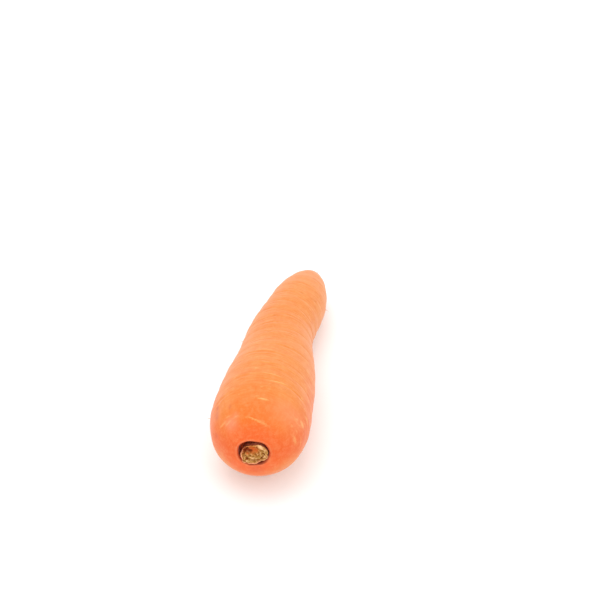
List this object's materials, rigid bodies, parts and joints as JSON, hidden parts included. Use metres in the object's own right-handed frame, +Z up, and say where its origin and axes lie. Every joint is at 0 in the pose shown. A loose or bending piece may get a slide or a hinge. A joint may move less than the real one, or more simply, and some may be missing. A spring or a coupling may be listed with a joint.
{
  "type": "carrot",
  "caption": "Whole fresh carrot lying on its side: blunt tapering root with transverse furrows and cut, dried leaf-stalk bases in the crown.",
  "frame": {"origin": "under the middle of the carrot, on the surface that it rests on", "axes": "+Z up, +Y along the root from the crown to the tail, +X to the right when seen from the crown"},
  "size_m": [0.045, 0.1606, 0.046],
  "materials": {
    "carrot_skin": "moist orange skin, smooth with a soft sheen",
    "dry_stalk": "dry, fibrous and matt"
  },
  "bodies": {
    "root": {"taproot": "carrot_skin", "leaf_stub": "dry_stalk"}
  },
  "joints": []
}
